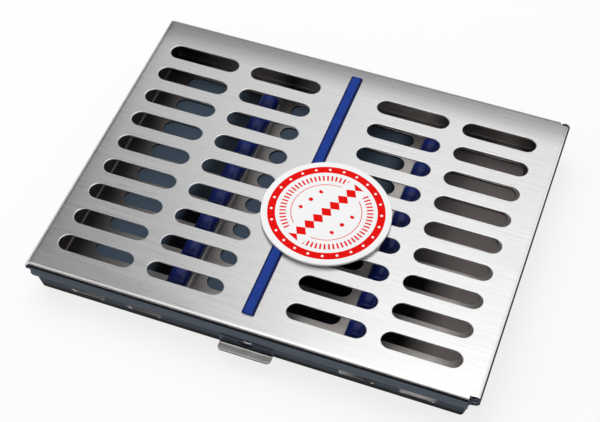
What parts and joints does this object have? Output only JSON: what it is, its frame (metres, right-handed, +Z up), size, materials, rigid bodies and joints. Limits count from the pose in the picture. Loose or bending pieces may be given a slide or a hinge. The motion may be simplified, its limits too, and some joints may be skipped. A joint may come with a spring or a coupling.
{
  "type": "dental instrument cassette",
  "caption": "Flat hinged steel box with slotted lid and tray, notched silicone rails, a silicone hold-down strip and a front spring latch.",
  "frame": {"origin": "middle of the bounding box at the level of its base, under the floor of the tray", "axes": "+Z up, +X along the long side towards the hinge, +Y towards the back, away from the latch"},
  "size_m": [0.18, 0.1476, 0.0201],
  "materials": {
    "lid_steel": "brushed along the length",
    "tray_steel": "satin",
    "pin_steel": "drawn wire",
    "blue_silicone": "matt",
    "label_card": "matt, printed in red"
  },
  "bodies": {
    "tray": {"base_tray": "tray_steel", "hinge_pin": "pin_steel", "rail_channel_left": "tray_steel", "rail_channel_right": "tray_steel", "instrument_rail_left": "blue_silicone", "instrument_rail_right": "blue_silicone"},
    "lid": {"lid": "lid_steel", "hold_down_strip": "blue_silicone", "round_label": "label_card"},
    "latch": {"latch_tongue": "lid_steel"}
  },
  "joints": [
    {"name": "lid_hinge", "type": "hinge", "parent": "tray", "child": "lid", "pos_m": [0.088, 0.0018, 0.016], "axis": [0, 1, 0], "range_deg": [0, 180]},
    {"name": "latch_flex", "type": "hinge", "parent": "lid", "child": "latch", "pos_m": [0.0008, -0.0698, 0.01185], "axis": [-1, 0, 0], "range_deg": [0, 8], "stiffness_Nm_per_rad": 0.05}
  ]
}
